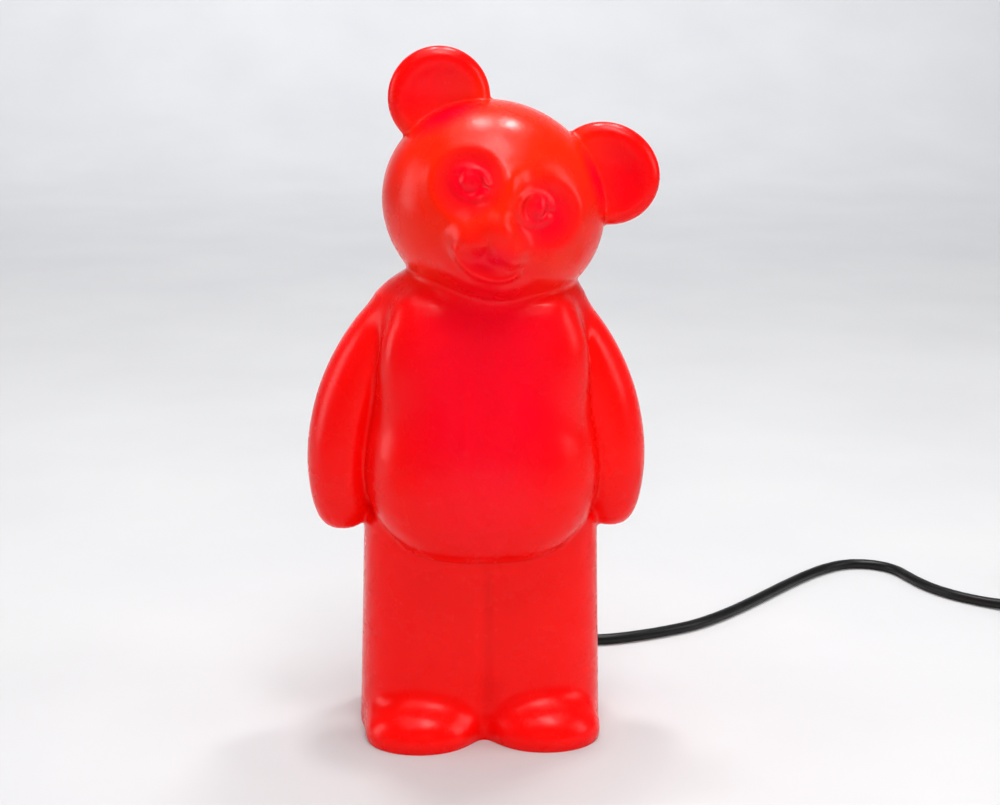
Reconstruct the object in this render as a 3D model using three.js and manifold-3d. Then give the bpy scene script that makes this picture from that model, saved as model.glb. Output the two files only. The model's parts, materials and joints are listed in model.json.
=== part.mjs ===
// Bear-shaped table lamp, in millimetres, +Z up. The bear faces -Y and the table is the plane z = 0.
// A hollow red vinyl shell stands over a snap-in base that carries an E14 lampholder and a bulb.
// The mains lead leaves at the back, lies on the table, passes an inline rocker switch, is wound into
// a round coil and ends in a flat two-pin plug.

import * as THREE from 'three';
import { mergeVertices } from 'three/addons/utils/BufferGeometryUtils.js';
import Module from 'manifold-3d';

// ---- Driving dimensions -------------------------------------------------------------------------

const GAP = 0.3;                      // clearance between pieces that touch
const WALL = 2.3;                     // vinyl wall thickness

// Bear shell
const LEG_HALF_WIDTH = 60;            // column of the two closed legs, at the table
const LEG_HALF_DEPTH = 39;
const LEG_TOP_SCALE = 0.955;          // the column narrows towards the belly
const LEG_TOP = 104;
const LEG_SQUARENESS = 3.2;           // exponent of the rounded-rectangle plan
const BASE_Y = 8.5;                   // the lamp's axis lies this far behind the middle of its depth
const FLOOR_BOTTOM = 13;              // the shell's inner floor that clips over the base
const FLOOR_TOP = 15;
const FLOOR_HOLE_RADIUS = 31;
const RECESS_WALL = 3;                // wall of the rim below the floor
const TORSO_DEPTH = 0.88;             // depth of the torso as a share of its width
const TORSO_OUTLINE = [               // half width and height, from the belly's underside to the neck
  [36, 90.5], [46, 94], [52.5, 101], [56, 112], [57.5, 128], [57, 145], [54.5, 162], [51, 178],
  [47, 194], [43, 207], [38, 217], [33, 226],
];
const HEAD_CENTRE = [5.5, 4, 258.5];
const HEAD_RADII = [53.5, 49, 49];
const HEAD_ROLL = 22.5;               // degrees that the head leans to the bear's left
const EAR_PLACES = [[-43, 1, 36.6], [43.5, 1, 34]];
const EAR_RADIUS = 24;
const EAR_HALF_THICKNESS = 10;

// Base insert
const DISC_BOTTOM = 9.7;
const DISC_TOP = FLOOR_BOTTOM - GAP;
const DISC_RADIUS = 34.6;
const COLLAR_RADIUS = FLOOR_HOLE_RADIUS - 0.5;
const COLLAR_TOP = 17;
const PAD_HEIGHT = 1.5;
const PAD_OFFSET = 19.8;
const ARM_BACK = 34.8;                // rear arm that grips the strain relief
const ARM_FRONT = 27;
const CLAMP_Y = 15.6;

// Lampholder and bulb, heights above the table
const NIPPLE_RADIUS = 4.9;
const NIPPLE_TOP = 21.6;
const NUT_CORNER = 7.6;
const HOLDER_CAP_BOTTOM = 16;
const HOLDER_SEAM = 29;
const HOLDER_TOP = 66;
const HOLDER_RADIUS = 14;
const CORE_BOTTOM = 34;
const THREAD_RADIUS = 7.4;
const BULB_TIP = 40.8;
const BULB_CAP_RADIUS = 6.95;
const GLASS_CENTRE = 93;
const GLASS_RADIUS = 22.5;

// Mains lead
const CORD_RADIUS = 2.9;
const CORD_ON_TABLE = CORD_RADIUS + 0.05;
const CORD_EXIT_HEIGHT = 6.4;
const RELIEF_TIP = 58;                // end of the strain relief, behind the lamp's axis
const CORD_SIDES = 10;

// Inline switch
const SWITCH_CENTRE = [364.5, 109.9];
const SWITCH_ANGLE = -28;             // degrees from +X
const SWITCH_LENGTH = 60;
const SWITCH_WIDTH = 26;
const SWITCH_HEIGHT = 17;
const SWITCH_SEAM = 5.6;              // height of the cord's centre and of the joint line
const SWITCH_WALL = 2.6;
const ROCKER_TILT = 7;                // degrees to each side of level
const ROCKER_PIVOT = 13.2;

// Coil
const COIL_CENTRE = [438.8, 113.4];
const COIL_OUTER_RADIUS = 41;
const COIL_INNER_RADIUS = 23.2;
const COIL_HEIGHT = 11.9;

// Plug
const PLUG_FACE = [358.6, 174.1];
const PLUG_ANGLE = 165;               // degrees from +X of the way the pins point
const PLUG_WIDTH = 35.3;
const PLUG_THICKNESS = 13.7;
const PLUG_BODY_LENGTH = 36;
const PLUG_RELIEF_LENGTH = 12;
const PIN_OFFSET = 9.3;
const PIN_LENGTH = 19;

// Cord routes: hand-laid points, in the lamp's frame
const LEAD_ROUTE = [
  [0, BASE_Y + RELIEF_TIP + GAP, CORD_EXIT_HEIGHT], [0, 73.4, 6.15], [2, 82.6, 5.2], [8, 91.2, 4.1],
  [17, 96.6, 3.2], [28, 98, CORD_ON_TABLE], [41, 96, CORD_ON_TABLE], [57, 94.4, CORD_ON_TABLE],
  [76, 94.6, CORD_ON_TABLE], [95, 99.4, CORD_ON_TABLE], [112, 106, CORD_ON_TABLE],
  [127, 113.5, CORD_ON_TABLE], [140, 123, CORD_ON_TABLE], [153, 134.5, CORD_ON_TABLE],
  [167, 148.5, CORD_ON_TABLE], [182, 164.5, CORD_ON_TABLE], [197, 180.5, CORD_ON_TABLE],
  [211, 194.5, CORD_ON_TABLE], [219, 201.6, CORD_ON_TABLE], [227.5, 207.9, CORD_ON_TABLE],
  [236.4, 212.8, CORD_ON_TABLE], [246, 215, CORD_ON_TABLE], [256, 213.6, CORD_ON_TABLE],
  [264.6, 208.4, CORD_ON_TABLE], [270.6, 200.2, CORD_ON_TABLE], [274, 190, CORD_ON_TABLE],
  [277.5, 179.5, CORD_ON_TABLE], [283, 168, CORD_ON_TABLE], [291, 157, CORD_ON_TABLE],
  [301.5, 147.2, CORD_ON_TABLE], [313, 138.7, 3.4], [324.8, 131.3, 4.7],
  [335.4, 125.4, SWITCH_SEAM], [343.3, 121.2, SWITCH_SEAM],
];
const LINK_ROUTE = [
  [385.7, 98.6, SWITCH_SEAM], [393.6, 94.4, SWITCH_SEAM], [403, 89.4, 4.7], [412, 84.7, 3.4],
  [421, 79.9, CORD_ON_TABLE],
];
const END_ROUTE = [
  [448.6, 150, 8.8], [436, 153.4, 8.4], [423, 156.9, 7.5], [413, 159.6, 6.95], [405.2, 161.7, 6.85],
];

// ---- Materials ----------------------------------------------------------------------------------

const material = (color, roughness, metalness = 0) =>
  new THREE.MeshStandardMaterial({ color, roughness, metalness });

const VINYL = material(0xf3081c, 0.35);
const BLACK_PLASTIC = material(0x141414, 0.5);
const BLACK_FLEX = material(0x101010, 0.45);
const RUBBER = material(0x1c1c1c, 0.85);
const CERAMIC = material(0xf1efe8, 0.3);
const STEEL = material(0xb9bcc0, 0.35, 1);
const BRASS = material(0xc9a24a, 0.35, 1);
const NICKEL = material(0xd0d0ce, 0.25, 1);
const GLASS = material(0xf6f6f2, 0.08);
const WIRE_BLUE = material(0x2a58a8, 0.5);
const WIRE_BROWN = material(0x6b3f22, 0.5);

// ---- Geometry helpers ---------------------------------------------------------------------------

const wasm = await Module();
wasm.setup();

const radians = THREE.MathUtils.degToRad;

// Only positions, shared vertices merged, no collapsed triangles, faces pointing out.
function weld(geometry) {
  const bare = new THREE.BufferGeometry();
  bare.setAttribute('position', geometry.getAttribute('position').clone());
  if (geometry.index) bare.setIndex(geometry.index.clone());
  const merged = mergeVertices(bare, 1e-4);
  const corners = merged.index.array;
  const place = merged.getAttribute('position');
  const kept = [];
  let volume = 0;
  const a = new THREE.Vector3();
  const b = new THREE.Vector3();
  const c = new THREE.Vector3();
  for (let i = 0; i < corners.length; i += 3) {
    const [p, q, r] = [corners[i], corners[i + 1], corners[i + 2]];
    if (p === q || q === r || r === p) continue;
    kept.push(p, q, r);
    a.fromBufferAttribute(place, p);
    b.fromBufferAttribute(place, q);
    c.fromBufferAttribute(place, r);
    volume += a.dot(b.cross(c));
  }
  if (volume < 0) {
    for (let i = 0; i < kept.length; i += 3) [kept[i + 1], kept[i + 2]] = [kept[i + 2], kept[i + 1]];
  }
  merged.setIndex(kept);
  return merged;
}

function toSolid(geometry) {
  const welded = weld(geometry);
  return new wasm.Manifold(new wasm.Mesh({
    numProp: 3,
    vertProperties: Float32Array.from(welded.getAttribute('position').array),
    triVerts: Uint32Array.from(welded.index.array),
  }));
}

function toGeometry(solid) {
  const mesh = solid.getMesh();
  const geometry = new THREE.BufferGeometry();
  geometry.setAttribute('position', new THREE.BufferAttribute(Float32Array.from(mesh.vertProperties), 3));
  geometry.setIndex(new THREE.BufferAttribute(Uint32Array.from(mesh.triVerts), 1));
  return geometry;
}

function uniteSolids(geometries) {
  return geometries.map(toSolid).reduce((whole, piece) => whole.add(piece));
}

function unite(...geometries) {
  return toGeometry(uniteSolids(geometries));
}

function cut(body, ...tools) {
  return toGeometry(tools.map(toSolid).reduce((rest, tool) => rest.subtract(tool), toSolid(body)));
}

// Box from its lowest to its highest corner.
function box([x0, y0, z0], [x1, y1, z1]) {
  return new THREE.BoxGeometry(x1 - x0, y1 - y0, z1 - z0)
    .translate((x0 + x1) / 2, (y0 + y1) / 2, (z0 + z1) / 2);
}

// Solid of revolution about the vertical through (x, y): the profile holds [radius, height] pairs.
function turned(profile, segments, x = 0, y = 0) {
  const points = profile.map(([radius, height]) => new THREE.Vector2(radius, height));
  return weld(new THREE.LatheGeometry(points, segments).rotateX(Math.PI / 2)).translate(x, y, 0);
}

function disc(radius, z0, z1, segments = 24, x = 0, y = 0) {
  return turned([[0, z0], [radius, z0], [radius, z1], [0, z1]], segments, x, y);
}

function ring(outer, inner, z0, z1, segments = 32, x = 0, y = 0) {
  return turned([[inner, z0], [outer, z0], [outer, z1], [inner, z1], [inner, z0]], segments, x, y);
}

// Closed tube of round section along a smooth curve through the points.
function tube(points, radius, steps, sides = CORD_SIDES) {
  const path = new THREE.CatmullRomCurve3(points.map((p) => new THREE.Vector3(...p)), false, 'centripetal');
  const section = new THREE.Shape();
  for (let i = 0; i < sides; i += 1) {
    const angle = (2 * Math.PI * i) / sides;
    const [u, v] = [radius * Math.cos(angle), radius * Math.sin(angle)];
    if (i === 0) section.moveTo(u, v);
    else section.lineTo(u, v);
  }
  return new THREE.ExtrudeGeometry(section, { steps, extrudePath: path, curveSegments: 1 });
}

// Moves every vertex of a geometry to where place(x, y, z) says.
function warp(geometry, place) {
  const bent = geometry.clone();
  const vertices = bent.getAttribute('position');
  for (let i = 0; i < vertices.count; i += 1) {
    vertices.setXYZ(i, ...place(vertices.getX(i), vertices.getY(i), vertices.getZ(i)));
  }
  return bent;
}

function ellipsoid([x, y, z], [rx, ry, rz], around = 20, high = 14) {
  return new THREE.SphereGeometry(1, around, high).rotateX(Math.PI / 2).scale(rx, ry, rz).translate(x, y, z);
}

function shrink(radii, by) {
  return radii.map((radius) => radius - by);
}

function roundedRectangle(length, width, corner) {
  const [u, v] = [length / 2, width / 2];
  const shape = new THREE.Shape();
  shape.moveTo(-u + corner, -v);
  shape.lineTo(u - corner, -v);
  shape.absarc(u - corner, -v + corner, corner, -Math.PI / 2, 0);
  shape.lineTo(u, v - corner);
  shape.absarc(u - corner, v - corner, corner, 0, Math.PI / 2);
  shape.lineTo(-u + corner, v);
  shape.absarc(-u + corner, v - corner, corner, Math.PI / 2, Math.PI);
  shape.lineTo(-u, -v + corner);
  shape.absarc(-u + corner, -v + corner, corner, Math.PI, 1.5 * Math.PI);
  return shape;
}

function upright(shape, z0, z1, curveSegments = 4) {
  return new THREE.ExtrudeGeometry(shape, { depth: z1 - z0, bevelEnabled: false, curveSegments })
    .translate(0, 0, z0);
}

// ---- Bear shell ---------------------------------------------------------------------------------

// Column with a rounded-rectangle plan, a little narrower at the top than at the bottom.
function legColumn(inset, z0, z1, around) {
  const power = 2 / LEG_SQUARENESS;
  const soften = (value) => Math.sign(value) * Math.abs(value) ** power;
  return warp(new THREE.CylinderGeometry(1, 1, z1 - z0, around, 1).rotateX(Math.PI / 2), (x, y, z) => {
    const height = z + (z0 + z1) / 2;
    const scale = 1 + (LEG_TOP_SCALE - 1) * (height / LEG_TOP);
    const radius = Math.hypot(x, y);
    if (radius < 1e-6) return [0, BASE_Y, height];
    return [
      soften(x / radius) * (LEG_HALF_WIDTH * scale - inset),
      BASE_Y + soften(y / radius) * (LEG_HALF_DEPTH * scale - inset),
      height,
    ];
  });
}

// Torso: a turned outline flattened from front to back, its upper part leaning back a little.
function torso(inset, around) {
  const [, lowest] = TORSO_OUTLINE[0];
  const [, highest] = TORSO_OUTLINE[TORSO_OUTLINE.length - 1];
  const profile = TORSO_OUTLINE.map(([radius, height]) => [radius - inset, height]);
  const middle = (lowest + highest) / 2;
  const squeeze = 1 - (2 * inset) / (highest - lowest);
  return warp(turned([[0, lowest], ...profile, [0, highest]], around), (x, y, z) => [
    x,
    y * TORSO_DEPTH + 5 * ((z - lowest) / (highest - lowest)),
    middle + (z - middle) * squeeze,
  ]);
}

// Arm: a long lobe that hangs from the shoulder, flat against the side of the torso.
function arm(side, inset, around, high) {
  const top = 220 - inset;
  const bottom = 101 + inset;
  return warp(new THREE.SphereGeometry(1, around, high).rotateX(Math.PI / 2), (x, y, z) => {
    const height = (top + bottom) / 2 + (z * (top - bottom)) / 2;
    const fullness = Math.max(1 - z * z, 1e-9) ** -0.2;
    const lean = Math.max(0, (height - 130) / 75);
    return [
      side * (65.5 - 24 * lean ** 2 + x * side * fullness * (17.5 - inset)),
      2 + 5 * lean + y * fullness * (19 - inset),
      height,
    ];
  });
}

// Everything on the head is placed in the head's own axes and then leaned with it.
function onHead(geometry) {
  return geometry.rotateY(radians(HEAD_ROLL)).translate(...HEAD_CENTRE);
}

function earForm([x, y, z], inset) {
  const [radius, half] = shrink([EAR_RADIUS, EAR_HALF_THICKNESS], inset);
  if (inset === 0) return onHead(ellipsoid([x, y, z], [radius, half, radius], 18, 12));
  return onHead(ellipsoid([x, y + 3.5, z], [radius, half / 2, radius], 12, 6));
}

function earDish([x, y, z]) {
  return onHead(ellipsoid([x, y - EAR_HALF_THICKNESS - 1, z], [17, 8, 17], 16, 8));
}

// The bear's outer form, or the same form moved inwards by the wall thickness.
function bearForm(inset, around, high) {
  const lobes = [
    legColumn(inset, inset > 0 ? FLOOR_TOP - 1 : 0, LEG_TOP + inset, around + 4),
    torso(inset, around),
    ellipsoid([3, 4, 221], shrink([38, 33, 20], inset), around - 4, high - 6),
    onHead(ellipsoid([0, 0, 0], shrink(HEAD_RADII, inset), around, high)),
    onHead(ellipsoid([-1, -36, -15], shrink([19, 19, 14], inset), around - 8, high - 6)),
    ...EAR_PLACES.map((place) => earForm(place, inset)),
    arm(-1, inset, around - 6, high - 2),
    arm(1, inset, around - 6, high - 2),
  ];
  for (const side of [-1, 1]) {
    lobes.push(ellipsoid([side * 31, -25, 4], shrink([27, 22, 16], inset), around - 8, high - 6));
  }
  return uniteSolids(lobes);
}

function faceDetails() {
  const details = [onHead(ellipsoid([0, -54, -5.5], [7, 5, 5], 8, 6))];
  for (const side of [-1, 1]) {
    details.push(onHead(ellipsoid([-2.5 + side * 15.7, -44.5, 9], [5, 4, 5], 8, 6)));
  }
  return details;
}

function bearShell() {
  const outside = faceDetails().map(toSolid).reduce((form, piece) => form.add(piece), bearForm(0, 24, 16));
  const hollows = [
    bearForm(WALL, 16, 10).subtract(toSolid(box([-100, -100, -60], [100, 100, FLOOR_TOP]))),
    toSolid(box([-100, -100, -60], [100, 100, 0])),
    toSolid(legColumn(RECESS_WALL, -1, FLOOR_BOTTOM, 30)),
    toSolid(disc(FLOOR_HOLE_RADIUS, FLOOR_BOTTOM - 1, FLOOR_TOP + 1, 40, 0, BASE_Y)),
    toSolid(box([-6.5, BASE_Y + 25, -1], [6.5, BASE_Y + 60, 12.6])),
    ...EAR_PLACES.map((place) => toSolid(earDish(place))),
  ];
  return toGeometry(hollows.reduce((rest, hollow) => rest.subtract(hollow), outside));
}

// ---- Base insert --------------------------------------------------------------------------------

const PAD_PLACES = [[-1, -1], [1, -1], [1, 1], [-1, 1]].map(([u, v]) => [u * PAD_OFFSET, v * PAD_OFFSET]);
const CLAMP_SCREWS = [[-9.5, CLAMP_Y], [9.5, CLAMP_Y]];

// Lays a solid that was turned about the vertical along the lead, which leaves towards +Y.
function alongCord(geometry) {
  return geometry.rotateX(-Math.PI / 2).translate(0, 0, CORD_EXIT_HEIGHT);
}

function basePlate() {
  const body = [
    disc(DISC_RADIUS, DISC_BOTTOM, DISC_TOP, 48),
    ring(COLLAR_RADIUS, COLLAR_RADIUS - 2.2, DISC_BOTTOM + 1, COLLAR_TOP, 48),
    box([-9, ARM_FRONT, 1.2], [9, ARM_BACK, DISC_TOP]),
  ];
  for (const [x, y] of PAD_PLACES) body.push(disc(4.5, PAD_HEIGHT + GAP, DISC_BOTTOM + 1, 12, x, y));
  for (const [x, y] of CLAMP_SCREWS) body.push(disc(3.5, 3.5, DISC_BOTTOM + 1, 12, x, y));
  const holes = [
    disc(NIPPLE_RADIUS + GAP, DISC_BOTTOM - 1, DISC_TOP + 1, 24),
    box([-4.6, ARM_BACK - 9, 0], [4.6, ARM_BACK + 1, CORD_EXIT_HEIGHT]),
    alongCord(disc(4.6, ARM_BACK - 9, ARM_BACK + 1, 20)),
    alongCord(disc(5.7, ARM_FRONT - 4, ARM_FRONT, 20)),
  ];
  for (const [x, y] of CLAMP_SCREWS) holes.push(disc(1.7, 2, 8.9, 10, x, y));
  return cut(unite(...body), ...holes);
}

function footPad() {
  return disc(5.5, 0, PAD_HEIGHT, 16);
}

// Rubber sleeve with a groove that the rear arm holds, tapering over its free length.
function strainRelief() {
  const front = ARM_FRONT - GAP;
  const back = ARM_BACK + GAP;
  const bore = CORD_RADIUS + GAP;
  const profile = [
    [bore, front - 3], [5.4, front - 3], [5.4, front], [4.2, front], [4.2, back], [5.4, back],
    [5.4, back + 2.4], [4.9, back + 3], [3.9, RELIEF_TIP], [bore, RELIEF_TIP], [bore, front - 3],
  ];
  return alongCord(turned(profile, 20));
}

function cordInner() {
  return alongCord(disc(CORD_RADIUS, 10.4, RELIEF_TIP, CORD_SIDES));
}

function cordClamp() {
  const bar = upright(roundedRectangle(27, 8, 3), 1.6, 3.2).translate(0, CLAMP_Y, 0);
  return cut(bar, ...CLAMP_SCREWS.map(([x, y]) => disc(1.7, 1, 4, 10, x, y)));
}

function clampScrew() {
  return turned([[0, 0.3], [2.7, 0.3], [2.7, 1], [1.35, 1.3], [1.35, 8.3], [0, 8.6]], 12);
}

function nipple() {
  return ring(NIPPLE_RADIUS, 3.7, 5.6, NIPPLE_TOP, 20);
}

function hexNut(z0, z1) {
  return cut(disc(NUT_CORNER, z0, z1, 6), disc(NIPPLE_RADIUS + GAP, z0 - 1, z1 + 1, 20));
}

// One core of the flex: from the stripped end of the sheath up through the nipple to its terminal.
function coreWire(side) {
  return tube(
    [
      [side * 1.6, 9.7, 6.2], [side * 1.6, 8.2, 5.6], [side * 1.6, 6, 4], [side * 1.6, 3.4, 3.6], [side * 1.6, 0.8, 5.2],
      [side * 1.6, 0, 9], [side * 1.6, 0, 18], [side * 1.8, 0, 22.6], [side * 5.4, 0, 26], [side * 6, 0, 28.2],
    ],
    1.1,
    22,
    8,
  );
}

// ---- Lampholder ---------------------------------------------------------------------------------

function holderCap() {
  return turned(
    [
      [NIPPLE_RADIUS + GAP, HOLDER_CAP_BOTTOM], [9, HOLDER_CAP_BOTTOM], [12.6, 18], [HOLDER_RADIUS, 21],
      [HOLDER_RADIUS, HOLDER_SEAM], [12, HOLDER_SEAM], [12, 22], [9.5, 19.2], [NIPPLE_RADIUS + GAP, 19.2],
      [NIPPLE_RADIUS + GAP, HOLDER_CAP_BOTTOM],
    ],
    28,
  );
}

function holderSleeve() {
  return turned(
    [
      [12.2, HOLDER_SEAM + GAP], [HOLDER_RADIUS, HOLDER_SEAM + GAP], [HOLDER_RADIUS, 33], [13.4, 34],
      [13.4, 63], [12.6, HOLDER_TOP], [9.6, HOLDER_TOP], [9.6, 64], [12.2, 62.6],
      [12.2, HOLDER_SEAM + GAP],
    ],
    28,
  );
}

function holderCore() {
  return turned(
    [
      [3.4, CORE_BOTTOM], [11.8, CORE_BOTTOM], [11.8, 62], [8.4, 62], [8.4, CORE_BOTTOM + 4],
      [3.4, CORE_BOTTOM + 4], [3.4, CORE_BOTTOM],
    ],
    24,
  );
}

function threadShell() {
  const floor = CORE_BOTTOM + 4 + GAP;
  return turned(
    [
      [3.6, floor], [8, floor], [8, 59], [THREAD_RADIUS, 59], [THREAD_RADIUS, floor + 0.6],
      [3.6, floor + 0.6], [3.6, floor],
    ],
    24,
  );
}

function centreContact() {
  return turned([[0, CORE_BOTTOM + 0.3], [2.6, CORE_BOTTOM + 0.3], [2.6, 39.4], [1.4, 40.4], [0, 40.4]], 12);
}

function terminal(side) {
  return box([side * 6 - 2.5, -2, 29], [side * 6 + 2.5, 2, CORE_BOTTOM - GAP]);
}

function terminalScrew(side) {
  return disc(1.6, 2.3, 5.4, 10).rotateX(Math.PI / 2).translate(side * 6, 0, 31.4);
}

// ---- Bulb ---------------------------------------------------------------------------------------

// Arc of a circle about (0, centre), as [radius, height] pairs.
function sphereArc(radius, centre, fromDegrees, toDegrees, steps) {
  return Array.from({ length: steps + 1 }, (_, i) => {
    const angle = radians(fromDegrees + ((toDegrees - fromDegrees) * i) / steps);
    return [Math.max(radius * Math.cos(angle), 0), centre + radius * Math.sin(angle)];
  });
}

function bulbGlass() {
  const thickness = 0.9;
  const outer = sphereArc(GLASS_RADIUS, GLASS_CENTRE, -66, 90, 9);
  const inner = sphereArc(GLASS_RADIUS - thickness, GLASS_CENTRE, 90, -66, 9);
  outer[outer.length - 1][0] = 0;
  inner[0][0] = 0;
  return turned(
    [...inner, [5.9, 67], [5.3, 62], [5.3, 54], [6.2, 54], [6.2, 62], [6.9, 66], ...outer],
    20,
  );
}

function bulbCap() {
  return turned(
    [
      [4.9, 44.6], [BULB_CAP_RADIUS, 46.6], [BULB_CAP_RADIUS, 61.5], [6.5, 61.5], [6.5, 47], [4.9, 45.4],
      [4.9, 44.6],
    ],
    20,
  );
}

function bulbInsulator() {
  return turned([[0, 42.6], [2.6, 42.6], [4.4, 44.4], [4.4, 47.4], [0, 47.4]], 16);
}

function bulbContact() {
  return turned([[0, BULB_TIP], [1.6, BULB_TIP], [2.4, 41.4], [2.4, 42.3], [0, 42.3]], 12);
}

function bulbStem() {
  return turned([[0, 55], [4.8, 55], [3.6, 60], [2.4, 66], [2.2, 78], [0, 80]], 12);
}

function bulbFilament() {
  return tube(
    [[-1.6, 0, 80.3], [-4, 0, 86], [-8, 0, 96], [-5, 2.4, 97.5], [0, 3.2, 98], [5, 2.4, 97.5], [8, 0, 96],
      [4, 0, 86], [1.6, 0, 80.3]],
    0.5,
    26,
    6,
  );
}

// ---- Inline switch, in its own axes: +X along the cord, z = 0 on the table ------------------------

const SWITCH_SCREWS = [[-19, 6.4], [19, -6.4]];

function cordBore(radius) {
  return disc(radius, -SWITCH_LENGTH, SWITCH_LENGTH, 16).rotateY(Math.PI / 2).translate(0, 0, SWITCH_SEAM);
}

function switchShellHalf(z0, z1, cavity0, cavity1) {
  const outline = roundedRectangle(SWITCH_LENGTH, SWITCH_WIDTH, 8);
  const hollow = roundedRectangle(SWITCH_LENGTH - 2 * SWITCH_WALL, SWITCH_WIDTH - 2 * SWITCH_WALL, 5.5);
  return cut(upright(outline, z0, z1), upright(hollow, cavity0, cavity1));
}

function switchBase() {
  const top = SWITCH_SEAM - GAP / 2;
  const tray = switchShellHalf(0, top, 1.8, top + 1);
  const bosses = SWITCH_SCREWS.map(([x, y]) => disc(2.8, 1, top, 12, x, y));
  const holes = SWITCH_SCREWS.flatMap(([x, y]) => [
    disc(1.5, -1, top + 1, 10, x, y),
    disc(2.4, -1, 2, 12, x, y),
  ]);
  return cut(unite(tray, ...bosses), ...holes, cordBore(CORD_RADIUS + 0.5));
}

function switchCover() {
  const bottom = SWITCH_SEAM + GAP / 2;
  const lid = switchShellHalf(bottom, SWITCH_HEIGHT, bottom - 1, 14.6);
  const bosses = SWITCH_SCREWS.map(([x, y]) => disc(2.8, bottom, 15, 12, x, y));
  const rails = [-1, 1].map((side) => box(
    [-3, Math.min(side * 6.8, side * 10.6), 10.6],
    [3, Math.max(side * 6.8, side * 10.6), 15],
  ));
  const holes = SWITCH_SCREWS.map(([x, y]) => disc(1.5, bottom - 1, 13, 10, x, y));
  const window = box([-12, -6.8, 10], [12, 6.8, SWITCH_HEIGHT + 1]);
  const pivotBore = disc(1.6, -9.2, 9.2, 12).rotateX(Math.PI / 2).translate(0, 0, ROCKER_PIVOT);
  return cut(unite(lid, ...bosses, ...rails), ...holes, window, pivotBore, cordBore(CORD_RADIUS + 0.5));
}

// Drawn about its pivot, level; the group that holds it tilts it to its off position.
function switchRocker() {
  const side = new THREE.Shape();
  side.moveTo(-8, -1.6);
  side.lineTo(8, -1.6);
  side.lineTo(10.8, 1.4);
  side.lineTo(10.8, 5.4);
  side.lineTo(0, 3.6);
  side.lineTo(-10.8, 5.4);
  side.lineTo(-10.8, 1.4);
  const body = new THREE.ExtrudeGeometry(side, { depth: 12.6, bevelEnabled: false })
    .translate(0, 0, -6.3)
    .rotateX(Math.PI / 2);
  return unite(body, disc(1.2, -8.8, 8.8, 10).rotateX(Math.PI / 2));
}

function switchScrew() {
  return turned([[0, 0.5], [2, 0.5], [2, 1.6], [1.1, 1.9], [1.1, 12], [0, 12.3]], 10);
}

function switchContact(side) {
  return unite(
    box([side * 17 - 4, -2.6, 3.4], [side * 17 + 4, 2.6, 8]),
    box([Math.min(side * 5, side * 15), -2, 8 - 0.9], [Math.max(side * 5, side * 15), 2, 8]),
  );
}

// ---- Coil ---------------------------------------------------------------------------------------

function coilSolid() {
  const chamfer = 1.6;
  return turned(
    [
      [COIL_INNER_RADIUS + chamfer, 0], [COIL_OUTER_RADIUS - chamfer, 0], [COIL_OUTER_RADIUS, chamfer],
      [COIL_OUTER_RADIUS, COIL_HEIGHT - chamfer], [COIL_OUTER_RADIUS - chamfer, COIL_HEIGHT],
      [COIL_INNER_RADIUS + chamfer, COIL_HEIGHT], [COIL_INNER_RADIUS, COIL_HEIGHT - chamfer],
      [COIL_INNER_RADIUS, chamfer], [COIL_INNER_RADIUS + chamfer, 0],
    ],
    36,
    ...COIL_CENTRE,
  );
}

// The room that a straight stretch of cord leaves to the coil that it runs into.
function coilClearance() {
  return disc(COIL_OUTER_RADIUS + GAP, -1, 20, 96, ...COIL_CENTRE);
}

// Strip that goes over the coil and down both of its sides.
function coilTie() {
  const [inner, outer, top] = [COIL_INNER_RADIUS - GAP, COIL_OUTER_RADIUS + GAP, COIL_HEIGHT + GAP];
  const thickness = 1;
  const strip = new THREE.Shape();
  strip.moveTo(inner - thickness, 0.1);
  strip.lineTo(inner, 0.1);
  strip.lineTo(inner, top);
  strip.lineTo(outer, top);
  strip.lineTo(outer, 0.1);
  strip.lineTo(outer + thickness, 0.1);
  strip.lineTo(outer + thickness, top + thickness);
  strip.lineTo(inner - thickness, top + thickness);
  return new THREE.ExtrudeGeometry(strip, { depth: 4, bevelEnabled: false })
    .translate(0, 0, -2)
    .rotateX(Math.PI / 2)
    .rotateZ(radians(-20))
    .translate(...COIL_CENTRE, 0);
}

// ---- Plug, in its own axes: the pins point along +X, z = 0 on the table ---------------------------

const PLUG_AXIS = PLUG_THICKNESS / 2;

function alongX(geometry, y, z) {
  return geometry.rotateY(Math.PI / 2).translate(0, y, z);
}

function plugBody() {
  const half = PLUG_WIDTH / 2;
  const outline = new THREE.Shape();
  outline.moveTo(0, -half + 2);
  outline.lineTo(0, half - 2);
  outline.lineTo(-2, half);
  outline.lineTo(-11, half);
  outline.lineTo(-PLUG_BODY_LENGTH + 3, 8.5);
  outline.lineTo(-PLUG_BODY_LENGTH, 6);
  outline.lineTo(-PLUG_BODY_LENGTH, -6);
  outline.lineTo(-PLUG_BODY_LENGTH + 3, -8.5);
  outline.lineTo(-11, -half);
  outline.lineTo(-2, -half);
  const relief = alongX(
    turned(
      [[0, -PLUG_BODY_LENGTH - PLUG_RELIEF_LENGTH], [4, -PLUG_BODY_LENGTH - PLUG_RELIEF_LENGTH],
        [5.4, -PLUG_BODY_LENGTH + 1], [0, -PLUG_BODY_LENGTH + 1]],
      16,
    ),
    0,
    PLUG_AXIS,
  );
  const pinHoles = [-1, 1].map((side) => alongX(disc(1.6, -4.6, 1, 12), side * PIN_OFFSET, PLUG_AXIS));
  return cut(unite(upright(outline, 0, PLUG_THICKNESS), relief), ...pinHoles);
}

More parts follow.
